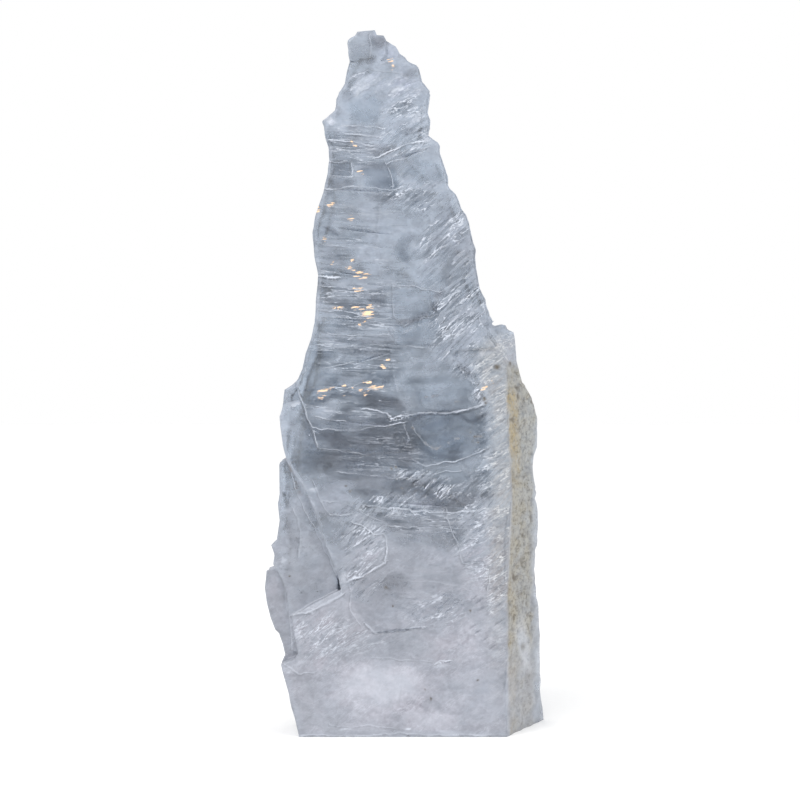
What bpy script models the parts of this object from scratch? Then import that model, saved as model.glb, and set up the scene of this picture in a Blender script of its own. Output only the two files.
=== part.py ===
"""Selenite crystal blade, standing upright on its flat foot.

The blade is one crystal that has split along its cleavage, so it is built as the crystal is:
a pack of flat sheets, each with its own broken outline, grown into one solid. On its right the
pack ends in a rough prism face that leans outward towards the back.

Units in the tables are millimetres. x runs to the right, z is the height above the foot, and
depth is measured back from the main front cleavage plane, so a sheet that stands proud of that
plane has a negative front depth. The finished solid is in metres, +Z up, with the middle of its
box on x = 0 and y = 0 and its foot on z = 0.
"""

import math
import random

import bmesh
import bpy
from mathutils import Vector, noise

# Driving dimensions

MM = 0.001
HEIGHT = 199.6
THICKNESS = 24.7
PROUD = 0.6
PANEL = 0.3
FOOT_TRIM = 5.0
WELD = 0.03
SEED = 41

# Outline of the blade seen from the front, from the foot up its left side and down its right

LOWER_LEFT = [(-31.0, 0.5), (-32.0, 5.0), (-34.0, 13.0), (-35.5, 18.0), (-36.0, 20.3)]
CLEAVED_STEP = [(-32.2, 22.0), (-31.2, 23.5), (-32.0, 28.0), (-32.6, 31.5), (-33.0, 34.5)]
LOWER_LEDGE = [(-30.5, 35.5), (-27.0, 37.5), (-22.5, 40.0), (-19.0, 41.5)]
SPLIT_LINE = [(-20.0, 46.0), (-23.0, 53.5), (-25.8, 62.0), (-30.0, 71.0), (-33.2, 75.5), (-34.6, 79.0)]
LEFT_STRIP = [(-35.5, 82.5), (-36.2, 87.5), (-36.4, 90.5), (-35.5, 93.5), (-35.0, 98.0), (-32.5, 99.8)]
LEFT_SIDE = [
    (-31.5, 100.5), (-30.0, 104.0), (-29.0, 108.5), (-27.5, 112.5), (-26.5, 117.0), (-26.0, 124.5),
    (-25.5, 130.5), (-26.5, 135.5), (-27.0, 141.0), (-26.4, 147.0), (-25.4, 150.0), (-24.0, 154.0),
    (-22.8, 159.5), (-22.5, 166.5), (-23.6, 170.0), (-24.0, 174.0), (-22.5, 175.5), (-20.8, 177.0),
    (-19.6, 182.0), (-18.0, 184.5), (-17.4, 188.0),
]
KNOB_TOP = [
    (-16.6, 191.0), (-17.0, 193.0), (-17.0, 196.5), (-15.0, 198.0), (-14.4, 199.1), (-9.5, HEIGHT),
    (-9.0, 198.2), (-7.0, 198.0), (-6.3, 196.6),
]
BROKEN_SIDE = [
    (-3.6, 195.0), (-2.5, 193.0), (-1.0, 192.0), (0.5, 190.5), (3.0, 188.5), (4.0, 185.0),
    (6.0, 182.5), (5.4, 176.5), (6.0, 173.0), (5.5, 170.0), (8.0, 168.0), (9.0, 164.5),
    (11.0, 158.5), (11.2, 156.0), (13.5, 153.0), (15.0, 149.0), (17.0, 145.5), (18.5, 138.5),
    (19.0, 133.0), (20.0, 127.0), (21.5, 123.5),
]
SHELL_CRACK = [(21.4, 115.8), (23.0, 113.5), (26.5, 110.0), (27.5, 106.0), (28.0, 103.5)]
RIDGE = [(28.4, 97.5), (28.0, 91.0), (28.6, 80.0), (29.1, 68.0), (28.0, 47.0), (28.5, 30.0), (27.2, 14.0)]
FOOT = [(28.0, -FOOT_TRIM), (-30.5, -FOOT_TRIM)]

# Rows of the rough right face: height, front ridge x, back edge x, depth of the back edge

RIGHT_FACE = [
    (-FOOT_TRIM, 28.0, 40.6, THICKNESS), (4.0, 27.8, 40.2, THICKNESS), (8.0, 27.5, 39.2, 24.2),
    (12.0, 27.2, 39.6, 24.0), (22.0, 27.9, 39.2, 23.4), (33.0, 28.5, 38.7, 22.8),
    (40.0, 28.3, 37.8, 22.0), (46.0, 28.0, 37.1, 21.2), (50.0, 28.1, 38.0, 22.0),
    (60.0, 28.6, 38.5, 22.2), (68.0, 29.1, 37.9, 21.4), (74.0, 28.9, 36.9, 20.4),
    (77.0, 28.8, 36.4, 20.0), (80.0, 28.6, 37.9, 21.0), (89.0, 28.0, 38.2, 19.6),
    (95.0, 28.3, 36.6, 16.6), (98.0, 28.5, 34.7, 13.6), (102.0, 28.0, 32.2, 10.0),
    (106.0, 27.5, 31.2, 8.4), (112.0, 24.5, 30.7, 7.6), (115.5, 22.5, 30.2, 7.0),
    (117.6, 22.0, 28.4, 6.2),
]
RIGHT_FACE_ROW = 2.8
RIGHT_FACE_COLUMNS = 8
RIGHT_FACE_INNER = 12.0
GRAIN_HEIGHT = 0.55
GRAIN_SIZE = 3.2

# Pits in the right face: height, place from ridge 0 to back edge 1, radius, depth

PITS = [
    (12.0, 0.55, 2.2, 0.7), (19.0, 0.70, 2.6, 1.0), (27.0, 0.30, 2.0, 0.6), (38.0, 0.62, 3.0, 1.1),
    (47.0, 0.40, 2.4, 0.8), (57.0, 0.72, 2.6, 1.0), (64.0, 0.34, 2.0, 0.7), (71.0, 0.60, 2.8, 1.2),
    (83.0, 0.50, 2.4, 0.9), (90.0, 0.30, 2.2, 0.7), (97.0, 0.55, 2.0, 0.8),
]

# Ticks of the second cleavage: they rise to the right across the front in five patches.
# Each patch is left x, right x, low z, high z, and how many times a place is tried

TICK_PATCHES = [
    (10.0, 16.6, 113.0, 143.0, 90),
    (18.6, 26.4, 67.0, 92.0, 70),
    (17.5, 26.0, 24.0, 40.0, 50),
    (-6.0, 12.0, 68.0, 75.0, 60),
    (-24.0, -10.0, 44.0, 58.0, 40),
]
TICK_RISE = math.radians(36.0)
TICK_LENGTH = 5.4
TICK_WIDTH = 1.2
TICK_DEPTH = 0.5
TICK_GAP = 1.5
RIM_RISE = 0.1

# Long cracks that cross the front, left end to right end

CRACKS = [
    ((-25.0, 89.6), (-1.5, 87.6)), ((-9.0, 66.6), (17.0, 64.6)), ((-17.5, 105.0), (-4.0, 109.0)),
    ((-22.0, 118.6), (-5.4, 116.4)), ((-22.0, 131.5), (-6.5, 129.6)), ((-22.0, 144.0), (-3.0, 141.6)),
    ((-23.0, 154.7), (-5.0, 153.9)), ((-7.0, 162.0), (6.0, 166.4)), ((-12.5, 29.0), (6.0, 31.0)),
]
CRACK_WIDTH = 1.2
CRACK_DEPTH = 0.7

# The shell-shaped scoop: middle as x, depth, z, and its half sizes

SHELL_MIDDLE = (10.9, -3.2, 84.9)
SHELL_REACH = (15.0, 4.3, 9.0)

# Chips out of the front edge of the foot: x, width, height

FOOT_CHIPS = [
    (-27.5, 2.4, 1.5), (-18.6, 3.0, 1.9), (-9.5, 2.2, 1.2), (-0.3, 3.2, 2.3), (9.8, 3.6, 1.6),
    (14.8, 2.4, 1.4), (22.5, 3.0, 1.8),
]


def place(x, depth, z):
    """A point in metres from its x, its depth behind the front plane and its height."""
    return Vector((x * MM, depth * MM, z * MM))


def moved(points, right=0.0, up=0.0):
    """The same stretch of outline, moved sideways and up."""
    return [(x + right, z + up) for x, z in points]


def make_object(name, bm):
    """A mesh object with its faces pointing out."""
    bmesh.ops.recalc_face_normals(bm, faces=bm.faces[:])
    mesh = bpy.data.meshes.new(name)
    bm.to_mesh(mesh)
    bm.free()
    solid = bpy.data.objects.new(name, mesh)
    bpy.context.scene.collection.objects.link(solid)
    return solid


def ragged(corners, reach, spacing, rng):
    """A closed outline with small bends between its corners, none of them on the foot."""
    bent = []
    for index, start in enumerate(corners):
        end = corners[(index + 1) % len(corners)]
        bent.append(start)
        length = math.dist(start, end)
        if min(start[1], end[1]) < 0.0 or length < spacing * 1.5:
            continue
        across = ((end[1] - start[1]) / length, (start[0] - end[0]) / length)
        bends = int(length / spacing)
        for number in range(1, bends):
            along = number / bends + rng.uniform(-0.2, 0.2) / bends
            out = rng.uniform(-reach, reach)
            bent.append((
                start[0] + (end[0] - start[0]) * along + across[0] * out,
                start[1] + (end[1] - start[1]) * along + across[1] * out,
            ))
    return bent


def sheet(name, corners, front, back, reach=0.35, spacing=3.0, lean=0.35):
    """One cleavage sheet: flat in front and behind, its rim broken into small facets."""
    rng = random.Random(f"{SEED} {name}")
    rim = ragged(corners, reach, spacing, rng)
    levels = [front, back]
    if back - front > 3.5:
        levels.insert(1, (front + back) / 2.0)
    bm = bmesh.new()
    rings = []
    for depth in levels:
        ring = []
        for x, z in rim:
            off = 0.0 if depth == front else lean
            ring.append(bm.verts.new(place(x + rng.uniform(-off, off), depth, z + rng.uniform(-off, off))))
        rings.append(ring)
    count = len(rim)
    for near, far in zip(rings, rings[1:]):
        for index in range(count):
            after = (index + 1) % count
            bm.faces.new((near[index], near[after], far[after], far[index]))
    bm.faces.new(rings[0])
    bm.faces.new(rings[-1])
    return make_object(name, bm)


def right_face_row(z):
    """Ridge x, back edge x and back edge depth of the right face at one height."""
    for low, high in zip(RIGHT_FACE, RIGHT_FACE[1:]):
        if z <= high[0]:
            share = (z - low[0]) / (high[0] - low[0])
            return [a + (b - a) * share for a, b in zip(low[1:], high[1:])]
    return list(RIGHT_FACE[-1][1:])


def right_face_relief(z, across, depth):
    """How far the rough right face stands out of its plane, in millimetres."""
    lump = noise.noise(Vector((z, depth, SEED)) / GRAIN_SIZE) * GRAIN_HEIGHT * 2.0
    relief = lump * min(1.0, 5.0 * across) * (1.0 if across < 0.99 else 0.3)
    row = right_face_row(z)
    for pit_z, pit_across, radius, pit_depth in PITS:
        away = math.hypot(z - pit_z, (across - pit_across) * row[2])
        relief -= pit_depth * max(0.0, 1.0 - (away / radius) ** 2)
    return relief


def right_face_block():
    """The body behind the rough right face, from the front ridge to the back edge."""
    bottom = RIGHT_FACE[0][0]
    top = RIGHT_FACE[-1][0]
    rows = round((top - bottom) / RIGHT_FACE_ROW)
    bm = bmesh.new()
    rings = []
    for step in range(rows + 1):
        z = bottom + (top - bottom) * step / rows
        ridge_x, edge_x, edge_depth = right_face_row(z)
        front = PROUD / 2.0
        ring = [bm.verts.new(place(RIGHT_FACE_INNER, front, z))]
        for column in range(RIGHT_FACE_COLUMNS + 1):
            across = column / RIGHT_FACE_COLUMNS
            depth = front + (edge_depth - front) * across
            x = ridge_x + (edge_x - ridge_x) * across + right_face_relief(z, across, depth)
            ring.append(bm.verts.new(place(x, depth, z)))
        ring.append(bm.verts.new(place(RIGHT_FACE_INNER, edge_depth, z)))
        rings.append(ring)
    for low, high in zip(rings, rings[1:]):
        for index in range(len(low)):
            after = (index + 1) % len(low)
            bm.faces.new((low[index], low[after], high[after], high[index]))
    bm.faces.new(rings[0])
    bm.faces.new(rings[-1])
    return make_object("right_face_block", bm)


def groove(bm, start, end, width, depth, level):
    """A boat-shaped cutter: the crack it leaves is deep in its middle and closes at both ends."""
    run = Vector((end[0] - start[0], end[1] - start[1]))
    side = Vector((-run.y, run.x)).normalized() * width
    middle = ((start[0] + end[0]) / 2.0, (start[1] + end[1]) / 2.0)
    keel = bm.verts.new(place(middle[0], level + depth, middle[1]))
    rim = [
        bm.verts.new(place(x, level - RIM_RISE, z))
        for x, z in (start, (middle[0] + side.x, middle[1] + side.y), end,
                     (middle[0] - side.x, middle[1] - side.y))
    ]
    bm.faces.new(rim)
    for near, far in zip(rim, rim[1:] + rim[:1]):
        bm.faces.new((near, far, keel))


def front_level(x, z):
    """Depth of the front at a place: the upper sheet stands proud of the lower one."""
    return -PROUD if z > 110.0 or (x < -2.0 and z > 82.0) else 0.0


def crack_cutter():
    """The long cracks across the front."""
    bm = bmesh.new()
    for start, end in CRACKS:
        groove(bm, start, end, CRACK_WIDTH / 2.0, CRACK_DEPTH, front_level(*start))
    return make_object("crack_cutter", bm)


def tick_cutter():
    """The short parallel ticks of the second cleavage, none of them touching another."""
    rng = random.Random(SEED)
    along = Vector((math.cos(TICK_RISE), math.sin(TICK_RISE)))
    across = Vector((-along.y, along.x))
    taken = []
    bm = bmesh.new()
    for left, right, low, high, tries in TICK_PATCHES:
        for _ in range(tries):
            middle = Vector((rng.uniform(left, right), rng.uniform(low, high)))
            here = (middle.dot(along), middle.dot(across))
            if any(abs(here[0] - u) < TICK_LENGTH and abs(here[1] - v) < TICK_GAP for u, v in taken):
                continue
            taken.append(here)
            half = along * TICK_LENGTH * rng.uniform(0.34, 0.5)
            groove(bm, middle - half, middle + half, TICK_WIDTH / 2.0, TICK_DEPTH, front_level(*middle))
    return make_object("tick_cutter", bm)


def chip_cutter():
    """Flakes broken off the front edge of the foot."""
    bm = bmesh.new()
    for x, width, height in FOOT_CHIPS:
        tip = bm.verts.new(place(x + 0.2 * width, -1.0, height))
        low = bm.verts.new(place(x, 1.1, -1.0))
        left = bm.verts.new(place(x - width / 2.0, -1.0, -1.0))
        right = bm.verts.new(place(x + width / 2.0, -1.0, -1.0))
        for corners in ((tip, left, low), (tip, low, right), (tip, right, left), (left, right, low)):
            bm.faces.new(corners)
    return make_object("chip_cutter", bm)


def box_cutter(name, low, high):
    """A plain box between two corners, each given as x, depth, z."""
    bm = bmesh.new()
    bmesh.ops.create_cube(bm, size=1.0)
    near = place(*low)
    far = place(*high)
    for vert in bm.verts:
        vert.co = Vector([near[i] + (far[i] - near[i]) * (vert.co[i] + 0.5) for i in range(3)])
    return make_object(name, bm)


def shell_cutter():
    """A shallow shell-shaped scoop out of the front, below the longest crack."""
    bm = bmesh.new()
    bmesh.ops.create_icosphere(bm, subdivisions=3, radius=1.0)
    for vert in bm.verts:
        x, y, z = vert.co
        vert.co = place(*[middle + reach * value
                          for middle, reach, value in zip(SHELL_MIDDLE, SHELL_REACH, (x, y, z))])
    return make_object("shell_cutter", bm)


def combine(body, tool, operation):
    """Join a tool to the body or cut it away, and drop the tool."""
    step = body.modifiers.new("step", "BOOLEAN")
    step.operation = operation
    step.solver = "MANIFOLD"
    step.object = tool
    depsgraph = bpy.context.evaluated_depsgraph_get()
    joined = bpy.data.meshes.new_from_object(body.evaluated_get(depsgraph))
    body.modifiers.remove(step)
    body.data = joined
    bpy.data.objects.remove(tool)


def islands(bm):
    """The groups of faces that hang together edge to edge."""
    groups = []
    left = set(bm.faces)
    while left:
        waiting = [left.pop()]
        group = []
        while waiting:
            face = waiting.pop()
            group.append(face)
            beside = {other for edge in face.edges for other in edge.link_faces} & left
            left -= beside
            waiting.extend(beside)
        groups.append(group)
    return groups


def shortest_weld(bm, limit):
    """The shortest edge under a length whose two ends can become one and leave the skin closed."""
    short = sorted((edge for edge in bm.edges if edge.calc_length() < limit), key=lambda e: e.calc_length())
    for edge in short:
        beside = [{other.other_vert(end) for other in end.link_edges} for end in edge.verts]
        if len(beside[0] & beside[1]) == 2:
            return edge
    return None


def clean(body, shortest):
    """Weld the tiny edges that the joins leave, and drop crumbs shut in between the sheets."""
    bm = bmesh.new()
    bm.from_mesh(body.data)
    bmesh.ops.triangulate(bm, faces=bm.faces[:])
    crumbs = sorted(islands(bm), key=len)[:-1]
    bmesh.ops.delete(bm, geom=[face for crumb in crumbs for face in crumb], context="FACES")
    edge = shortest_weld(bm, shortest * MM)
    while edge:
        bmesh.ops.pointmerge(bm, verts=edge.verts[:], merge_co=(edge.verts[0].co + edge.verts[1].co) / 2.0)
        edge = shortest_weld(bm, shortest * MM)
    bm.to_mesh(body.data)
    bm.free()


def centre(body):
    """Put the middle of the body's box on x = 0 and y = 0."""
    for axis in (0, 1):
        values = [vert.co[axis] for vert in body.data.vertices]
        middle = (min(values) + max(values)) / 2.0
        for vert in body.data.vertices:
            vert.co[axis] -= middle


def crystal_material():
    """Clear grey-blue crystal, a little cloudy."""
    material = bpy.data.materials.new("clear_selenite")
    material.use_nodes = True
    shader = material.node_tree.nodes["Principled BSDF"]
    shader.inputs["Base Color"].default_value = (0.62, 0.66, 0.72, 1.0)
    shader.inputs["Roughness"].default_value = 0.3
    shader.inputs["Metallic"].default_value = 0.0
    return material


def cleavage_sheets():
    """Every sheet of the pack, front to back."""
    left_side = LOWER_LEFT + CLEAVED_STEP + LOWER_LEDGE + SPLIT_LINE + LEFT_STRIP + LEFT_SIDE
    main = left_side + KNOB_TOP + BROKEN_SIDE + SHELL_CRACK + RIDGE + FOOT
    upper = (
        [(-25.5, 81.5), (-27.5, 87.5), (-30.0, 94.5), (-31.6, 100.3)]
        + moved(LEFT_SIDE, right=0.25) + [(-16.0, 190.6), (-6.6, 190.9), (-3.0, 192.0)]
        + moved(BROKEN_SIDE[2:], right=-0.5) + [(20.9, 115.5), (24.6, 110.2), (15.1, 109.3)]
        + [(12.3, 107.9), (17.4, 100.9), (20.8, 95.2), (21.3, 93.6), (9.0, 91.6), (-1.8, 91.2)]
        + [(-1.3, 88.1), (0.4, 83.9), (-2.4, 80.5), (-12.3, 79.6)]
    )
    knob = KNOB_TOP + [(-6.4, 192.6), (-8.2, 190.3), (-13.0, 190.1)]
    high_panel = [
        (-4.4, 118.9), (-4.7, 127.6), (5.8, 126.2), (6.4, 120.1), (7.7, 119.3), (2.4, 117.8),
        (-1.3, 115.8),
    ]
    low_panel = [(-4.1, 111.0), (-4.2, 115.2), (-1.6, 114.2), (3.0, 116.4), (9.0, 117.2), (9.2, 110.8)]
    right_panel = [
        (22.6, 41.9), (22.9, 47.5), (21.3, 49.6), (15.5, 49.3), (13.4, 56.3), (11.5, 60.3),
        (18.5, 63.7), (26.0, 65.8), (27.7, 64.0), (27.2, 54.0), (27.0, 43.0),
    ]
    recess = [
        (-20.0, 20.0), (-33.4, 24.0), (-34.0, 34.0), (-34.4, 39.5), (-35.2, 42.5), (-36.6, 45.5),
        (-38.4, 48.5), (-38.0, 51.0), (-39.0, 54.0), (-37.4, 55.5), (-36.6, 61.0), (-37.1, 65.5),
        (-36.6, 68.5), (-36.7, 77.0), (-35.6, 78.4), (-20.0, 80.0),
    ]
    outer = [
        (-20.0, 14.0), (-33.6, 16.0), (-36.2, 20.3), (-35.2, 22.5), (-35.9, 25.5), (-36.9, 28.5),
        (-38.0, 29.6), (-39.5, 33.5), (-40.5, 38.0), (-41.0, 41.5), (-40.5, 46.4), (-38.0, 47.6),
        (-36.8, 58.0), (-20.0, 60.0),
    ]
    upper_back = [(-14.0, 193.0), (-8.0, 194.0), (-3.0, 190.0), (1.0, 186.5), (3.6, 180.0), (3.2, 171.0)]
    slab_one = (
        [(-29.5, -FOOT_TRIM), (-30.5, 3.0), (-33.0, 14.0), (-34.0, 24.0), (-37.5, 33.0)]
        + [(-39.2, 42.0), (-36.2, 52.0), (-35.0, 64.0), (-35.8, 76.0), (-33.6, 88.0), (-33.0, 96.0)]
        + [(-28.4, 107.0), (-25.2, 124.0), (-25.6, 146.0), (-22.0, 160.0), (-22.6, 173.0)]
        + [(-17.6, 184.0)] + upper_back + [(9.0, 159.0), (12.0, 150.5), (16.6, 140.0), (18.2, 128.0)]
        + [(22.5, 116.0), (26.0, 106.0), (29.6, 99.0), (30.4, 70.0), (30.0, 30.0)]
        + [(30.2, -FOOT_TRIM)]
    )
    slab_two = [
        (-28.6, -FOOT_TRIM), (-30.2, 12.0), (-33.5, 27.0), (-36.0, 40.0), (-34.0, 55.0),
        (-34.6, 74.0), (-31.0, 92.0), (-27.2, 105.0), (-24.0, 121.0), (-24.6, 140.0),
        (-21.4, 154.0), (-21.0, 166.0), (-15.0, 171.5), (-9.0, 166.0), (-4.0, 169.0),
        (2.0, 161.0), (7.5, 155.0), (13.0, 143.0), (15.8, 130.0), (20.0, 118.0),
        (24.5, 108.0), (30.0, 96.0), (33.0, 88.0), (33.2, 60.0), (32.6, 30.0), (33.4, -FOOT_TRIM),
    ]
    slab_three = [
        (-27.4, -FOOT_TRIM), (-29.0, 10.0), (-32.0, 26.0), (-33.6, 42.0), (-32.0, 60.0),
        (-32.8, 78.0), (-29.0, 96.0), (-25.4, 110.0), (-23.0, 126.0), (-18.0, 137.0),
        (-11.0, 131.0), (-3.0, 136.5), (4.0, 126.0), (10.0, 118.0), (16.0, 110.0), (21.0, 99.0),
        (27.0, 90.0), (33.0, 82.0), (35.4, 70.0), (35.0, 45.0), (36.0, 20.0), (36.6, -FOOT_TRIM),
    ]
    back_skin = [
        (-26.0, -FOOT_TRIM), (-27.4, 12.0), (-30.4, 28.0), (-31.6, 43.0), (-27.0, 58.0),
        (-19.0, 66.0), (-9.0, 63.0), (3.0, 71.0), (14.0, 66.0), (24.0, 58.0), (33.0, 52.0),
        (34.2, 30.0), (35.6, -FOOT_TRIM),
    ]
    return [
        sheet("main_sheet", main, 0.0, 6.4, reach=0.25, spacing=4.0, lean=0.3),
        sheet("upper_sheet", upper, -PROUD, 1.6, reach=0.25, spacing=4.0, lean=0.2),
        sheet("knob", knob, -PROUD, 9.6, reach=0.2, spacing=3.0, lean=0.5),
        sheet("high_panel", high_panel, -PROUD - PANEL, 1.0, reach=0.15, lean=0.1),
        sheet("low_panel", low_panel, -PROUD - 0.8 * PANEL, 0.9, reach=0.15, lean=0.1),
        sheet("right_panel", right_panel, -PANEL, 1.1, reach=0.15, lean=0.1),
        sheet("recess_sheet", recess, 2.6, 9.2, spacing=4.0),
        sheet("outer_sheet", outer, 5.0, 12.6, spacing=4.0),
        sheet("slab_one", slab_one, 6.0, 12.4, reach=0.6, spacing=3.5, lean=0.6),
        sheet("slab_two", slab_two, 11.8, 18.6, reach=0.7, spacing=4.0, lean=0.7),
        sheet("slab_three", slab_three, 18.2, 23.4, reach=0.8, spacing=4.0, lean=0.7),
        sheet("back_skin", back_skin, 23.0, THICKNESS, reach=0.7, spacing=4.5, lean=0.5),
    ]


def selenite_blade():
    """The whole crystal as one closed solid."""
    pack = cleavage_sheets()
    body = pack[0]
    for piece in pack[1:] + [right_face_block()]:
        combine(body, piece, "UNION")
    notch = box_cutter("notch_cutter", (-21.9, -2.0, 158.3), (-16.2, 0.1, 162.6))
    below_foot = box_cutter("foot_cutter", (-60.0, -20.0, -20.0), (60.0, 60.0, 0.0))
    for tool in (shell_cutter(), notch, crack_cutter(), tick_cutter(), chip_cutter(), below_foot):
        combine(body, tool, "DIFFERENCE")
    clean(body, shortest=WELD)
    centre(body)
    body.name = "selenite_blade"
    body.data.name = "selenite_blade"
    body.data.materials.clear()
    body.data.materials.append(crystal_material())


for old in list(bpy.data.objects):
    bpy.data.objects.remove(old)
selenite_blade()
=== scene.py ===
import math

import bmesh
import bpy
import numpy as np
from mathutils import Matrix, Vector
from mathutils.kdtree import KDTree


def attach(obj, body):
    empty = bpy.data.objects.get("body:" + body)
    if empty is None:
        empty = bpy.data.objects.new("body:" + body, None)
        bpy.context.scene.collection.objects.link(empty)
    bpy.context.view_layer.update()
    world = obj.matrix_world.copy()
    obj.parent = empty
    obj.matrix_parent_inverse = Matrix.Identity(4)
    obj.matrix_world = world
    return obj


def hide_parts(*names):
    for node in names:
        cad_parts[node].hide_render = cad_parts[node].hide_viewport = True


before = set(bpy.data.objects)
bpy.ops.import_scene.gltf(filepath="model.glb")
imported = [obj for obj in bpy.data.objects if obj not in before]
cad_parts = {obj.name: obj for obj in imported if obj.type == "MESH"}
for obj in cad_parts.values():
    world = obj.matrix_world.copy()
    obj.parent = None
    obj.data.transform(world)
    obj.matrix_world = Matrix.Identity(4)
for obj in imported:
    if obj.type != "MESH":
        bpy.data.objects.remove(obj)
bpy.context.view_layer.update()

# A broken blade of clear selenite, standing on its flat foot in soft studio light.
#
# The crystal is one closed mesh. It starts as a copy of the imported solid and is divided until
# its edges are short enough to carry the cleavage ticks, cracks and grains. Small moves of the
# vertices then cut those marks, and attributes keep where they are for the material.
# Sizes are in millimetres unless a name or comment says otherwise.

MM = 0.001

# Seed of the ticks' places, and layers of rough noise
SEED = 11
LAYERS = 3

# The place that the photograph was taken from, level with the middle of the blade
CAMERA = (-1.945, -464.9, 95.2)
FOCAL_PIXELS = 1603.5
PHOTO_SIDE = 800.0
SENSOR = 36.0

# Depth of the wide front face and of the back face
FRONT = -11.9
BACK = 12.8
PIXEL = (FRONT - CAMERA[1]) / FOCAL_PIXELS

# Outer sides of the front slab: their middle's depth behind the front, and half their own
SLAB_DEPTH = 3.5
SLAB_HALF = 1.5

# Longest edges of the mesh: at dense marks, on the front, right face, other sides and back
EDGE_MARKED = 0.43
EDGE_FRONT = 0.70
EDGE_SIDE = 0.78
EDGE_FLANK = 1.1
EDGE_BACK = 2.4

# Dividing ends after so many rounds or with so few long edges. Flat is less than the angle.
DIVIDE_ROUNDS = 8
FEW_EDGES = 200
FLAT_ANGLE = math.radians(0.05)

# Ticks that lean this many degrees or more are of the steep set
STEEP_TICK = 33

# The sharp edge between the front face and the rough right face, from the shoulder to the foot
RIDGE = [(505, 358), (506, 372), (508, 400), (512, 500), (507, 600), (508, 668), (510, 740)]

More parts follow.
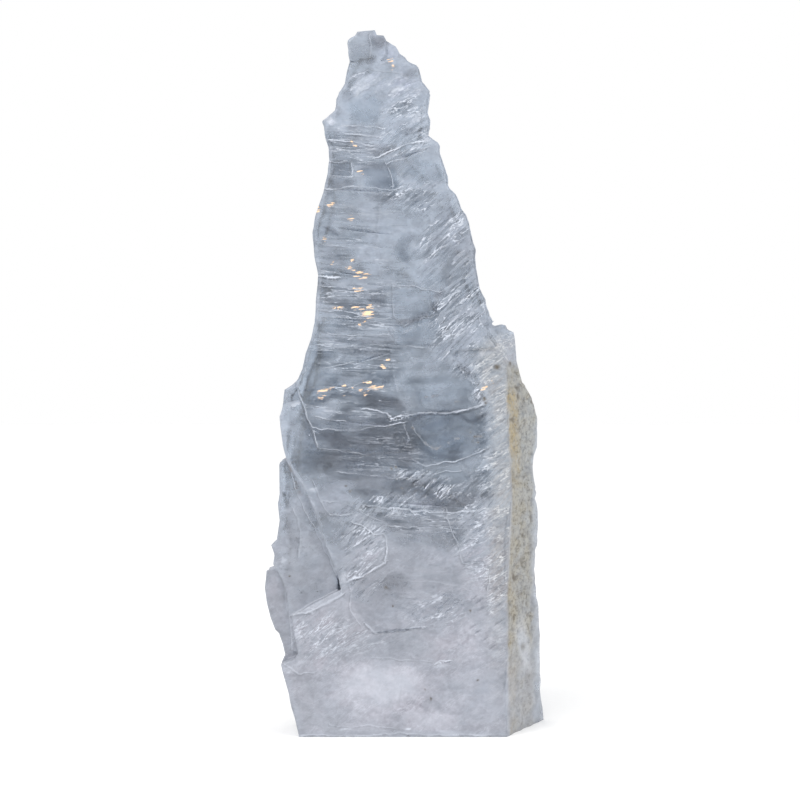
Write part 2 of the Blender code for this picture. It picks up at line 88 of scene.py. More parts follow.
# Fractures on the front, painted bright as highlights, each a path in photo pixels, with its width,
# depth and whiteness
CRACKS = [
    ([(391, 417.5), (405, 415), (418, 413.5), (440, 412.5), (457, 412), (468, 410.5),
      (484, 404)], 0.34, 0.40, 1.0),
    ([(363, 409), (377, 411), (388, 413), (393, 417)], 0.3, 0.3, 0.9),
    ([(313, 428), (330, 429.5), (345, 431), (352, 431), (365, 429), (380, 425.5), (395, 424),
      (405, 422)], 0.24, 0.25, 0.8),
    ([(318, 417), (330, 420), (345, 421.5)], 0.22, 0.2, 0.75),
    ([(318, 448), (335, 450), (350, 452), (365, 455)], 0.20, 0.2, 0.7),
    ([(338, 472), (355, 474), (375, 476), (400, 478), (420, 479)], 0.3, 0.1, 0.5),
    ([(390, 508), (403, 509.5), (420, 511), (447, 512.6), (473, 511.6)], 0.28, 0.3, 0.9),
    ([(386.5, 525.7), (405, 527), (424.5, 529)], 0.22, 0.2, 0.75),
    ([(353.8, 523), (365.4, 526.6), (373.4, 532.9), (384, 533.8), (386.8, 538.2), (386, 554),
      (384, 561)], 0.26, 0.3, 0.85),
    ([(446, 510.5), (449.4, 523.5), (456, 537.6), (463.5, 562.6), (484, 561.5), (489.5, 569),
      (488.5, 588.6)], 0.26, 0.3, 0.7),
    ([(353.2, 578.8), (362, 575), (370, 569.8), (377.3, 567.6), (385.4, 561.8)], 0.3, 0.3, 1.0),
    ([(291.6, 615), (312, 611), (321, 605.5), (335.4, 597.5), (342.5, 593.5)], 0.36, 0.3, 0.9),
    ([(297, 384), (303, 403), (311, 428), (318, 448)], 0.24, 0.2, 0.85),
    ([(286, 458), (300, 500), (322, 543), (332, 565), (342, 590)], 0.18, 0.1, 0.65),
    ([(313.6, 482.9), (318, 494), (324.3, 507.9), (330.5, 514), (340, 515),
      (351, 514)], 0.22, 0.15, 0.6),
    ([(484, 326), (490, 336), (497, 343), (505, 347)], 0.24, 0.25, 0.5),
    ([(479, 318), (486, 333), (494, 344), (503, 350)], 0.24, 0.25, 0.5),
    ([(462, 350), (480, 349), (497, 348), (504, 354), (508, 360)], 0.26, 0.25, 0.7),
    ([(392, 285), (392.5, 300), (393, 316), (404, 327), (417, 320), (435.6, 314.7)], 0.2, 0.2, 0.6),
    ([(392, 285), (410, 286), (429, 290), (441, 291)], 0.2, 0.2, 0.7),
    ([(331, 162), (351, 162), (352.5, 174)], 0.28, 0.2, 0.9),
    ([(333, 175.5), (352, 176)], 0.22, 0.2, 0.8),
    ([(324, 188.6), (338, 189), (351, 186.4), (369.7, 187.5), (390, 189.7),
      (410, 186)], 0.22, 0.2, 0.65),
    ([(374, 158.2), (386, 153.9), (407.6, 144), (425, 139.8)], 0.24, 0.25, 0.9),
    ([(387.5, 163.6), (401, 158), (420, 150), (428, 146)], 0.24, 0.25, 0.75),
    ([(386, 164.7), (390, 174), (393.5, 183), (395, 190)], 0.2, 0.2, 0.6),
    ([(412.8, 426.4), (418, 435), (425.8, 443.8), (435.6, 448)], 0.2, 0.1, 0.5),
    ([(413, 460), (425, 466), (437, 463), (455, 461), (470, 457), (484, 450)], 0.24, 0.2, 0.7),
    ([(293, 509), (297, 518), (300, 530), (301, 545), (299, 556)], 0.26, 0.3, 0.6),
    ([(366, 624), (374, 631), (392, 630.5), (406, 629.5), (424, 627)], 0.34, 0.1, 0.9),
    ([(436, 663), (441, 660.5), (449, 661)], 0.24, 0.2, 0.9),
    ([(330, 333), (350, 335), (370, 335), (393, 335)], 0.2, 0.15, 0.7),
    ([(320, 310), (345, 312), (370, 317), (393, 319)], 0.2, 0.15, 0.6),
    ([(318, 345), (340, 347), (360, 345), (393, 345), (424, 348)], 0.24, 0.15, 0.55),
    ([(325, 368), (345, 364), (365, 360)], 0.18, 0.1, 0.5),
    ([(349, 387), (358, 384), (367, 381)], 0.2, 0.15, 0.7),
    ([(345, 125), (362, 126), (380, 128)], 0.24, 0.1, 0.85),
    ([(326, 140), (345, 141), (372, 145)], 0.24, 0.1, 0.85),
    ([(340, 133), (362, 135), (378, 137)], 0.24, 0.1, 0.75),
    ([(320, 276.5), (330, 276.5), (338, 277)], 0.34, 0.1, 0.9),
    ([(366, 62), (376, 64), (385, 62)], 0.2, 0.15, 0.45),
    ([(370, 36), (371, 46), (369, 58)], 0.22, 0.15, 0.6),
    ([(350, 47), (358, 45), (368, 44)], 0.22, 0.1, 0.45),
    ([(351, 60), (360, 58), (370, 60)], 0.22, 0.15, 0.4),
    ([(349, 98), (365, 89), (384, 77)], 0.24, 0.1, 0.5),
    ([(372, 70), (385, 71.5), (396, 72)], 0.18, 0.1, 0.6),
    ([(418, 475), (432, 474), (446, 471), (462, 471)], 0.2, 0.15, 0.55),
    ([(285, 664), (300, 674), (315, 672)], 0.24, 0.2, 0.5),
    ([(392, 327), (392, 345), (394, 375), (400, 398), (409, 414)], 0.5, 0.1, 0.35),
    ([(379, 190), (380, 215), (378, 245), (381, 283)], 0.4, 0.1, 0.25),
    ([(302, 736), (330, 734.5), (362, 735), (400, 733), (440, 734.5), (480, 735),
      (509, 734)], 0.30, 0.1, 0.5),
    ([(330, 724), (345, 727), (372, 725), (395, 729)], 0.2, 0.1, 0.4),
    ([(360, 505), (385, 508), (400, 514)], 0.22, 0.1, 0.6),
    ([(320, 500), (345, 503), (362, 512), (380, 520)], 0.22, 0.1, 0.5),
    ([(345, 575), (352, 590), (350, 610), (360, 625)], 0.22, 0.1, 0.4),
    ([(425, 600), (450, 603), (468, 600)], 0.2, 0.1, 0.45),
    ([(400, 583), (425, 581), (450, 584), (470, 590)], 0.2, 0.1, 0.35),
    ([(372, 658), (384, 657), (402, 660), (430, 661)], 0.2, 0.1, 0.4),
]

# Patches on the front, each as photo x, y, half width, half height, strength and, where it isn't
# level, lean. Painted dark zones are painted shade where refraction and total reflection make the
# clear crystal look dark; window is where it is smooth and bluish.
PAINTED_DARK_ZONES = [
    (384, 402, 22, 9, 0.78, -4), (440, 418, 44, 2.5, 0.7, 1), (333, 439, 20, 8, 0.85, -4),
    (385, 440, 40, 22, 0.62), (345, 462, 30, 12, 0.55, -5), (400, 488, 62, 12, 0.5, -6),
    (448, 502, 30, 8, 0.6, 6), (364, 443, 66, 36, 0.4), (352, 374, 20, 8, 0.2, 12),
    (366, 351, 18, 7, 0.35), (377, 297, 8, 10, 0.6, 20), (346, 304, 26, 4, 0.45, -4),
    (363, 339, 30, 4, 0.4), (405, 239, 6, 7, 0.3, -30), (402, 253, 4, 6, 0.35, 20),
    (435, 294, 6, 4, 0.6), (433, 308, 5, 6, 0.55), (411, 321, 15, 5, 0.7, 8), (413, 340, 11, 5, 0.5),
    (379, 43, 8, 7, 0.75), (360, 53, 12, 9, 0.4), (372, 58, 6, 5, 0.5), (402, 107, 13, 4, 0.3, 18),
    (347, 92, 8, 6, 0.3, 20), (406, 129, 9, 5, 0.45), (352, 128, 6, 4, 0.45), (381, 153, 13, 4, 0.5, 5),
    (377, 170, 16, 9, 0.5), (381, 184, 12, 6, 0.75), (341, 169, 11, 5, 0.55), (340, 181, 15, 6, 0.5),
    (381, 196, 13, 6, 0.5), (462, 369, 9, 4, 0.55, -52), (483, 399, 4, 5, 0.6), (292, 396, 7, 9, 0.4),
    (290, 530, 7, 14, 0.4), (398, 583, 15, 9, 0.35), (308, 588, 20, 14, 0.12, 12),
    (414, 76, 8, 6, 0.35, -60), (420, 200, 12, 8, 0.25), (352, 322, 20, 6, 0.2), (330, 232, 6, 2, 0.6),
    (330, 192, 5, 2, 0.6, 20), (336, 255, 14, 8, 0.3), (455, 440, 30, 22, 0.33), (356, 290, 14, 4, 0.3),
    (450, 545, 6, 9, 0.2), (425, 526, 56, 12, 0.34), (330, 500, 20, 16, 0.25), (380, 588, 26, 30, 0.28),
    (450, 596, 44, 28, 0.22), (345, 640, 44, 22, 0.12), (345, 150, 30, 16, 0.25),
    (348, 290, 34, 24, 0.25), (350, 340, 44, 14, 0.18), (460, 300, 28, 66, 0.25, -20),
    (450, 235, 22, 34, 0.25, -10), (350, 222, 34, 24, 0.15), (425, 550, 30, 20, 0.2),
]
WINDOW = [
    (452, 437, 38, 24, 1.0), (452, 477, 16, 8, 0.8), (410, 302, 17, 13, 0.5), (418, 335, 22, 11, 0.7),
    (365, 108, 16, 16, 0.8), (440, 388, 34, 12, 0.6), (368, 372, 26, 14, 0.35), (425, 173, 22, 12, 0.5),
    (330, 380, 18, 12, 0.4), (306, 588, 22, 16, 0.3), (380, 184, 16, 8, 0.6), (370, 232, 24, 14, 0.3),
]

# Cloud is where milky veils lie close under the front
CLOUD = [
    (390, 51, 14, 7, 0.45, -20), (410, 70, 8, 8, 0.45, -40), (397, 92, 34, 10, 0.35, 10),
    (368, 86, 18, 6, 0.5, 30), (434, 142, 8, 8, 0.4, -30), (382, 688, 44, 22, 0.45),
    (465, 650, 38, 26, 0.35), (430, 722, 24, 12, 0.55), (455, 345, 26, 50, 0.25, -20),
    (462, 250, 12, 40, 0.25, -15), (496, 470, 10, 110, 0.6), (485, 560, 22, 60, 0.4),
    (333, 498, 17, 12, 0.5), (365, 700, 90, 45, 0.25), (300, 500, 10, 24, 0.35, -20),
    (330, 630, 38, 28, 0.4, 20), (296, 432, 9, 26, 0.3), (297, 522, 16, 26, 0.25),
    (376, 240, 18, 40, 0.15), (408, 560, 40, 30, 0.3), (410, 300, 18, 12, 0.3), (330, 408, 14, 9, 0.75),
    (275, 590, 8, 22, 0.3), (428, 381, 30, 8, 0.12),
]

# Nearly rectangular cleavage windows, in the same form
BLOCKS = [
    (411, 300, 20, 14, 0.6, 3), (418, 334, 23, 11, 0.6), (380, 180, 15, 12, 0.7),
    (402, 246, 7, 13, 0.35, -10), (342, 169, 10, 6, 0.4), (364, 108, 15, 17, 0.6),
]

# Bright is where a cloud is nearly white and where a broken facet carries a painted highlight; one
# small patch also paints light over the shade of a short wall. Dull is where the cloud is greyer
BRIGHT_AND_HIGHLIT = [
    (382, 684, 40, 20, 0.75), (430, 722, 26, 12, 0.6), (328, 120, 5, 4, 1.0), (415, 116, 9, 3, 0.8, 10),
    (400, 91, 7, 3, 0.7, 15), (365, 88, 13, 4, 0.7, 35), (338, 283, 12, 3, 0.6, -5),
    (330, 276.5, 8, 1.4, 0.9), (294, 404, 8, 3, 0.8, 20), (498, 470, 7, 70, 0.15),
    (480, 640, 30, 30, 0.15), (283, 562, 4, 10, 0.6, -20), (318, 607, 26, 3, 0.6, 17),
    (313, 488, 6, 3, 0.7, 15), (450, 735, 12, 2, 0.9), (480, 350, 26, 3, 0.5, 4),
    (524, 645, 7, 24, 0.8, 8), (345, 714, 46, 20, 0.35), (480, 700, 30, 26, 0.3), (341, 583, 3, 9, 0.9),
    (296, 665, 10, 5, 0.4, 20), (440, 480, 26, 6, 0.4, -14), (405, 734, 4, 1.2, 0.9),
    (345, 729, 8, 1.3, 0.8, 10), (384, 60, 3, 2, 0.5), (440, 663, 6, 1.5, 0.8, 15),
]
DULL = [
    (400, 575, 34, 24, 0.7), (330, 560, 30, 30, 0.5), (420, 530, 60, 18, 0.8),
    (405, 650, 60, 14, 0.5, -8), (345, 640, 40, 22, 0.45, 10), (300, 545, 14, 30, 0.5),
    (455, 575, 30, 16, 0.4), (503, 690, 10, 50, 0.3), (515, 350, 20, 20, 0.2), (320, 715, 24, 30, 0.25),
    (475, 250, 5, 16, 0.6, -60), (492, 565, 14, 40, 0.25), (360, 52, 14, 16, 0.7),
    (460, 300, 30, 60, 0.4, -20), (345, 200, 30, 30, 0.35),
]

# Crumbled places, full of small holes darkened with painted shade and edged with painted highlight,
# in the same form
CRUMBLES = [
    (411, 321, 17, 5, 1.0, 8), (434, 300, 5, 11, 0.9), (458, 364, 12, 4, 1.0, -52),
    (472, 382, 12, 4, 1.0, -52), (484, 396, 5, 7, 0.8), (472, 250, 6, 15, 0.9),
    (373, 303, 8, 14, 0.5, 10), (394, 308, 3, 14, 0.6), (475, 437, 8, 8, 0.7), (290, 530, 9, 26, 0.6),
    (283, 560, 6, 12, 0.7), (304, 545, 12, 12, 0.5), (345, 575, 4, 8, 0.5), (398, 583, 18, 12, 0.5),
    (352, 126, 5, 4, 0.5), (404, 107, 14, 5, 0.5, 18), (450, 320, 26, 30, 0.4, -25),
    (440, 225, 26, 34, 0.4, -15), (500, 366, 12, 7, 0.7), (318, 640, 24, 16, 0.4, 20),
    (376, 60, 14, 8, 0.5, -20), (418, 78, 6, 10, 0.5, -50), (425, 135, 12, 10, 0.5),
    (405, 132, 12, 8, 0.5), (320, 590, 12, 10, 0.4, 20), (470, 600, 30, 16, 0.3),
    (470, 500, 16, 20, 0.5),
]

# Small broken facets whose shine is a painted highlight, in the same form
PAINTED_FLAKE_HIGHLIGHTS = [
    (328, 120, 4.5, 4, 1.0, -20), (362, 88, 8, 1.6, 0.9, 32), (373, 81, 9, 1.2, 0.8, 36),
    (357, 95, 6, 1.3, 0.8, 30), (397, 90, 8, 2, 0.9, 10), (408, 86, 6, 1.5, 0.8, 20),
    (390, 95, 6, 1.4, 0.7, 12), (411, 116, 8, 1.8, 0.9, 6), (419, 119, 4, 1.5, 0.8, 60),
    (404, 124, 5, 1.2, 0.7, 20), (423, 112, 6, 1.2, 0.8, 40), (330, 276.5, 8, 1.3, 0.9),
    (294, 405, 7, 2, 0.8, 20), (313, 489, 6, 1.5, 0.9, 12), (310, 434, 5, 1, 0.8, -5),
    (484, 402, 5, 4, 0.8, 35), (480, 394, 5, 3, 0.6, -50), (283, 562, 3, 8, 0.8, -20),
    (318, 607, 24, 1.6, 0.6, 17), (440, 663, 7, 1.3, 0.9, 15), (290, 672, 7, 1.5, 0.6, 15),
    (345, 729, 8, 1.1, 0.8, 8), (408, 729, 3, 1.2, 0.9), (430, 735, 10, 1.1, 0.9),
    (458, 735, 9, 1.1, 0.8), (476, 735, 5, 1.1, 0.8), (322, 735, 10, 0.9, 0.7),
    (343, 711, 2, 3, 0.5, 20), (380, 735, 12, 0.9, 0.7), (303, 735, 5, 1.2, 0.9),
    (476, 470, 6, 1.6, 0.7, 40), (482, 455, 5, 1.6, 0.7, 35), (470, 492, 7, 1.5, 0.7, 60),
    (288, 470, 3, 1.5, 0.6, 30), (276, 566, 3, 6, 0.6, 10), (497, 352, 7, 1.5, 0.6, -20),
]

# Places where the outline is pushed: photo x, y, the push right and down, and its reach
PUSHES = [
    (484, 304, 1.2, 0, 9), (486, 315, 4.5, 0, 7), (485, 321, 6, 0, 4), (497, 322, -3, 4.5, 6),
    (506, 322, 0, 1.5, 5), (512, 324, -3, 4, 6), (476, 250, 1.5, 0, 5), (464, 215, 1.5, 0, 5),
    (452, 188, -1.5, 0, 4), (438, 146, 2, 0, 4), (416, 66, 1.5, -1, 4), (428, 120, 1.2, 0, 4),
    (425, 84, 1.5, 0, 4), (409, 60, -1, 0, 3), (350, 36, -3, 0, 4), (424, 84, -1.5, 0, 5),
    (327, 160, 1, 0, 5), (316, 232, -1.2, 0, 5), (325, 122, -1.5, 0, 3), (338, 100, -1.2, 0, 4),
]

# Painted warm glints, highlights of lamp light caught by cracks inside the crystal: photo x, y,
# length, thickness and lean
PAINTED_GLINTS = [
    (390, 60, 5, 2.5, 10), (392, 69, 6, 1.2, 70), (352, 143, 4, 2, -70), (355, 146, 4, 1.5, -40),
    (361, 172, 6, 2.5, -20), (331, 205, 6, 4, 0), (318, 210, 5, 1.6, 80), (351, 218, 5, 4, 20),
    (325, 238, 7, 1.8, 75), (335, 229, 2, 1.5, 0), (353, 259, 6, 2, 60), (332, 263, 4, 1, 50),
    (351, 269, 11, 1.5, -30), (362, 273, 18, 1.8, -10), (364, 277.5, 20, 1.4, -6),
    (358, 289, 9, 3.6, 0), (370, 311, 6, 12, 0), (367, 314, 12, 5, -14), (366, 319, 6, 2, 0),
    (362, 323, 9, 1.6, 40), (356, 309, 16, 1.4, 0), (338, 308, 10, 1.2, 0), (367, 301, 2, 2, 0),
    (388, 360, 4, 2, 50), (383, 367, 6, 2, -35), (367, 382, 7, 2, -10), (375, 388, 14, 4, 12),
    (364, 394, 5, 1.5, 0), (361, 390, 3, 1.5, 0), (327, 389.5, 18, 1.8, 12),
    (320, 398, 10, 1.8, 20), (484, 387.5, 5, 3, 40), (491, 382, 5, 1.5, 40), (344, 385, 3, 1, 0),
    (318, 394, 3, 1.2, 0), (345, 397, 12, 1, 0), (352, 388, 2, 1, 0),
]

# Dark specks and thin brown threads near the surface
SPECKS = [
    (402, 488, 1.1), (386, 588, 1.6), (431, 699, 1.1), (478, 680, 1.1), (497, 367, 2.6),
    (510, 364, 1.5), (514, 374, 0.9), (521, 389, 0.9), (346, 125, 0.8), (351, 129, 0.6),
    (471, 433, 0.9), (475, 437, 1.4), (478, 442, 1.3), (473, 440, 0.9), (436, 630, 0.8),
    (429, 656, 0.7), (435, 659, 0.7), (393, 606, 0.9), (405, 600, 0.7), (405, 608, 0.7),
    (470, 611, 0.9), (418, 606, 0.7), (409, 597, 0.6), (290, 576, 0.8), (350, 491, 1.2),
    (346, 486, 0.8), (391, 468, 0.9), (385, 466, 0.8), (396, 467, 0.7), (484, 399, 1.8),
    (486, 403, 1.2), (394, 618, 0.6), (471, 540, 0.6), (511, 660, 0.6), (425, 690, 0.6),
]
THREADS = [
    [(436, 449), (447, 443), (456, 439), (466, 437), (482, 437)],
    [(425, 397.5), (432, 396), (440, 396.5)],
    [(455, 401), (461, 403), (465, 406)],
    [(286, 458), (291, 470), (296, 482), (300, 494)],
    [(412, 427), (420, 437), (428, 446), (437, 449)],
]

# Zones of cleavage ticks: patches, then the ticks' lean, length, gap, width, depth, and the
# whiteness of the painted highlight on each tick's lip
TICK_ZONES = [
    ([(425, 482, 30, 9, 1.0, -14), (455, 494, 24, 8, 0.8, -14)], 42, 3.5, 1.1, 0.22, 0.14, 0.75),
    ([(445, 236, 28, 44, 0.8, -18), (462, 310, 26, 44, 1.0, -25)], 42, 4.2, 1.3, 0.2, 0.12, 0.55),
    ([(470, 355, 26, 22, 0.9, -30), (485, 385, 12, 24, 0.9)], 38, 3.2, 1.1, 0.22, 0.2, 0.7),
    ([(494, 440, 14, 50, 1.0), (485, 500, 24, 30, 1.0)], 28, 3.2, 0.95, 0.24, 0.26, 0.7),
    ([(483, 545, 26, 34, 1.0), (497, 600, 11, 34, 0.9)], 24, 4.0, 0.95, 0.22, 0.26, 0.7),
    ([(405, 130, 26, 34, 0.9), (400, 92, 26, 14, 0.6)], 26, 3.6, 1.4, 0.2, 0.14, 0.6),
    ([(374, 548, 14, 17, 1.0), (362, 535, 20, 14, 0.6)], 38, 2.6, 0.9, 0.2, 0.24, 0.7),
    ([(360, 580, 26, 16, 0.7), (318, 640, 26, 26, 0.7)], 38, 3.0, 1.4, 0.2, 0.12, 0.5),
    ([(440, 610, 34, 20, 0.7, 15), (350, 640, 50, 18, 0.5)], 30, 3.0, 1.8, 0.2, 0.15, 0.5),
    ([(412, 194, 30, 16, 0.8), (365, 84, 16, 9, 0.9, 30)], 24, 3.0, 1.2, 0.2, 0.2, 0.65),
    ([(390, 505, 36, 9, 0.8), (365, 512, 30, 9, 0.5)], 34, 2.4, 1.1, 0.2, 0.2, 0.6),
]

# Zones of long striations, level and steep, in the same form
STRIA_ZONES = [
    ([(360, 300, 44, 44, 1.0), (360, 350, 50, 24, 0.9)], -3, 14, 1.1, 0.2, 0.10, 0.55),
    ([(352, 145, 30, 28, 0.9), (365, 215, 46, 36, 0.5)], -4, 12, 1.5, 0.2, 0.10, 0.5),
    ([(350, 400, 50, 24, 0.7), (380, 455, 60, 30, 0.5)], -3, 16, 1.9, 0.2, 0.10, 0.45),
    ([(420, 520, 56, 18, 0.8), (440, 590, 46, 22, 0.5)], -2, 13, 1.8, 0.2, 0.10, 0.4),
    ([(350, 260, 30, 26, 0.8)], -1, 10, 1.4, 0.2, 0.10, 0.45),
]
STEEP_ZONES = [
    ([(385, 685, 60, 26, 0.7)], 82, 9, 3.6, 0.22, 0.06, 0.25),
    ([(290, 435, 10, 50, 0.8), (296, 600, 14, 40, 0.4)], 78, 7, 1.4, 0.2, 0.10, 0.4),
]

# How milky the crystal is at places down the photo, and how far across the photo the crumbled
# band beside the ridge begins there
MILK_LEVEL = [(30, 0.44), (120, 0.42), (250, 0.40), (330, 0.34), (400, 0.22), (500, 0.30), (560, 0.52),
              (640, 0.64), (740, 0.66)]
BAND_LEFT = [(322, 500), (350, 466), (372, 468), (402, 480), (740, 482)]


# Photo and front face

def on_front(pixels):
    """Photo pixels as x and z on the plane of the front face."""
    pixels = np.asarray(pixels, float)
    x = CAMERA[0] + (pixels[..., 0] - PHOTO_SIDE / 2) * PIXEL
    z = CAMERA[2] + (PHOTO_SIDE / 2 - pixels[..., 1]) * PIXEL
    return np.stack([x, z], axis=-1)


def in_photo(plane):
    """How far across and down the photo each point of the front's plane is, in pixels."""
    across = (plane[:, 0] - CAMERA[0]) / PIXEL + PHOTO_SIDE / 2
    down = PHOTO_SIDE / 2 - (plane[:, 1] - CAMERA[2]) / PIXEL
    return across, down


def seen(points):
    """Where points show on the plane of the front face, from the photograph's place."""
    nearness = (FRONT - CAMERA[1]) / (points[:, 1] - CAMERA[1])
    x = CAMERA[0] + (points[:, 0] - CAMERA[0]) * nearness
    z = CAMERA[2] + (points[:, 2] - CAMERA[2]) * nearness
    return np.stack([x, z], axis=-1)


# Smooth steps and noise. The last number of each noise is its seed.

def ease(value, low, high):
    """0 below low, 1 above high, smooth between. Low may be the larger."""
    part = np.clip((value - low) / (high - low), 0.0, 1.0)
    return part * part * (3 - 2 * part)


def lattice(cell, seed):
    """A number from 0 to 1 for each whole cell, always the same for one cell and seed."""
    mixed = cell[..., 0] * 73856093 ^ cell[..., 1] * 19349663 ^ cell[..., 2] * 83492791
    mixed = (mixed ^ seed * 2654435761) & 0xFFFFFFFF
    mixed = ((mixed ^ mixed >> 13) * 1274126177) & 0xFFFFFFFF
    mixed = mixed ^ mixed >> 16
    return (mixed & 0xFFFFFF) / 0xFFFFFF


def lumps(points, size, seed):
    """Smooth noise from -1 to 1. Size is how wide its lumps are, in all or along each axis."""
    scaled = points / np.asarray(size, float)
    cell = np.floor(scaled).astype(np.int64)
    part = scaled - cell
    part = part * part * (3 - 2 * part)
    total = np.zeros(len(points))
    for corner in np.ndindex(2, 2, 2):
        share = np.prod(np.where(corner, part, 1 - part), axis=1)
        total += share * lattice(cell + np.array(corner), seed)
    return 2 * total - 1


def rough(points, size, seed):
    """Noise with finer layers, each of half the size and strength."""
    total = sum(lumps(points, np.asarray(size) / 2 ** n, seed + n) / 2 ** n for n in range(LAYERS))
    return total / (2 - 0.5 ** (LAYERS - 1))


def deep(plane):
    """Plane points as 3-D points, for the noise."""
    return np.column_stack([plane[:, 0], np.zeros(len(plane)), plane[:, 1]])


# Patches, paths and strokes on the front

def patch(plane, spot, soft=0.45, corners=2):
    """How far each point is inside a leaning ellipse: its strength inside, 0 outside.

    More corners than 2 make the ellipse squarer.
    """
    x, y, wide, high, strength, lean = (*spot, 0)[:6]
    turn = math.radians(lean)
    over = plane - on_front((x, y))
    along = over[:, 0] * math.cos(turn) + over[:, 1] * math.sin(turn)
    across = over[:, 1] * math.cos(turn) - over[:, 0] * math.sin(turn)
    along = np.abs(along) / (wide * PIXEL)
    across = np.abs(across) / (high * PIXEL)
    reach = (along ** corners + across ** corners) ** (1 / corners)
    return strength * ease(reach, 1 + soft, 1 - soft)


def patches(plane, spots, soft=0.45, corners=2):
    """All the patches of a list, laid over each other."""
    left = np.ones(len(plane))
    for spot in spots:
        left *= 1 - patch(plane, spot, soft, corners)
    return 1 - left


def off_path(plane, path):
    """Distance of each point to a path, and on which side it is: positive above a level path."""
    corners = on_front(path)
    nearest = np.full(len(plane), 1e9)
    side = np.zeros(len(plane))
    for start, end in zip(corners[:-1], corners[1:]):
        run = end - start
        length = np.hypot(*run)
        over = plane - start
        along = np.clip((over @ run) / length ** 2, 0, 1)
        away = over - along[:, None] * run
        distance = np.hypot(away[:, 0], away[:, 1])
        closer = distance < nearest
        nearest[closer] = distance[closer]
        side[closer] = np.sign(run[0] * over[closer, 1] - run[1] * over[closer, 0])
    return nearest, side


def off_sides(points, plane, edge):
    """Distance of each point, as seen in the photo, to the nearest outer side of the front slab."""
    in_slab = np.abs(points[:, 1] - FRONT - SLAB_DEPTH) < SLAB_HALF
    tree = KDTree(np.count_nonzero((edge > 0.6) & in_slab))
    for number, (x, z) in enumerate(plane[(edge > 0.6) & in_slab]):
        tree.insert((x, 0, z), number)
    tree.balance()
    return np.array([tree.find((x, 0, z))[2] for x, z in plane])


def off_ridge(plane):
    """Distance of each point to the right of the ridge."""
    ridge = on_front(RIDGE)
    return plane[:, 0] - np.interp(plane[:, 1], ridge[::-1, 1], ridge[::-1, 0])


def below_shoulder(plane, above, below):
    """0 from a height above the shoulder up, 1 from a height below it down."""
    shoulder = on_front(RIDGE[0])[1]
    return ease(plane[:, 1], shoulder + above, shoulder - below)


def right_of_ridge(plane):
    """1 on the rough right face and 0 on the front, with a soft change along the ridge."""
    return ease(off_ridge(plane), -0.5, 0.5) * below_shoulder(plane, 1.0, 4.0)


def strokes_in(zone, random):
    """Staggered rows of short strokes over a zone: start, end, width, depth and whiteness."""
    spots, lean, length, gap, width, depth, white = zone
    turn = math.radians(lean)
    along = np.array([math.cos(turn), math.sin(turn)])
    across = np.array([-math.sin(turn), math.cos(turn)])
    found = []
    for spot in spots:
        middle = on_front(spot[:2])
        reach = 1.3 * max(spot[2], spot[3]) * PIXEL
        for row in range(-int(reach / gap), int(reach / gap) + 1):
            place = -reach - random.uniform(0, length)
            while place < reach:
                own = length * random.uniform(0.4, 1.5)
                start = middle + along * place + across * (row + random.uniform(-0.3, 0.3)) * gap
                run = own * (along + across * random.normal(0, 0.08))
                inside = patch((start + run / 2)[None, :], spot)[0]
                if random.uniform() < 0.75 * inside:
                    share = random.uniform(0.35, 1.0)
                    found.append((*start, *(start + run), width, depth * share, white * share))
                place += own * random.uniform(1.05, 1.6)
    return found


class Marks:
    """Heights, painted highlights and painted shade cut into the front by paths and strokes, held for
    each point.
    """

    # Farther than any crack reaches, in millimetres and in its widths
    FAR = 3.0

    def __init__(self, plane):
        self.plane = plane
        self.height = np.zeros(len(plane))
        self.white = np.zeros(len(plane))
        self.shade = np.zeros(len(plane))
        self.off = np.full(len(plane), self.FAR)
        self.near_crack = np.full(len(plane), self.FAR)
        self.bright = np.zeros(len(plane))

    def near(self, low, high):
        """The points in a box."""
        x, z = self.plane.T
        return np.flatnonzero((x > low[0]) & (x < high[0]) & (z > low[1]) & (z < high[1]))

    def stroke(self, x0, z0, x1, z1, width, depth, white):
        """One tick: a groove in painted shade, with a painted highlight on the lip of its upper side,
        fading to both ends.
        """
        start = np.array([x0, z0])
        end = np.array([x1, z1])
        pad = 4 * width
        chosen = self.near(np.minimum(start, end) - pad, np.maximum(start, end) + pad)
        run = end - start
        length = np.hypot(*run)
        over = self.plane[chosen] - start
        part = (over @ run) / length ** 2
        across = (run[0] * over[:, 1] - run[1] * over[:, 0]) / length
        taper = ease(part, -0.05, 0.25) * ease(part, 1.05, 0.75)
        groove = np.exp(-(across / width) ** 2) * taper
        lip = np.exp(-((across - 1.5 * width) / width) ** 2) * taper
        self.height[chosen] += depth * (0.55 * lip - groove)
        self.white[chosen] = np.maximum(self.white[chosen], white * lip)
        self.shade[chosen] = np.maximum(self.shade[chosen], white * groove)

    def crack(self, path, width, depth, white):
        """One fracture: a groove with a painted highlight along its upper side, that wanders a little.
        """
        corners = on_front(path)
        chosen = self.near(corners.min(axis=0) - self.FAR, corners.max(axis=0) + self.FAR)
        plane = self.plane[chosen]
        distance, side = off_path(plane, path)
        across = distance * side + 0.35 * lumps(deep(plane), 2.2, 16)
        vary = 0.75 + 0.35 * lumps(deep(plane), 3.1, 17)
        fade = ease(distance, 4 * width + 1.0, 2 * width)
        groove = np.exp(-(across / width) ** 2) * fade
        lip = np.exp(-((across - 1.2 * width) / width) ** 2) * fade
        self.height[chosen] += depth * (0.4 * lip - groove) * vary
        closer = distance < self.near_crack[chosen]
        self.near_crack[chosen[closer]] = distance[closer]
        self.off[chosen[closer]] = across[closer] / width
        bright = white * vary * ease(distance, 1.6, 1.0)
        self.bright[chosen[closer]] = bright[closer]


# The mesh

def placed(name, data):
    """A new object in the scene."""
    piece = bpy.data.objects.new(name, data)
    bpy.context.scene.collection.objects.link(piece)
    return piece


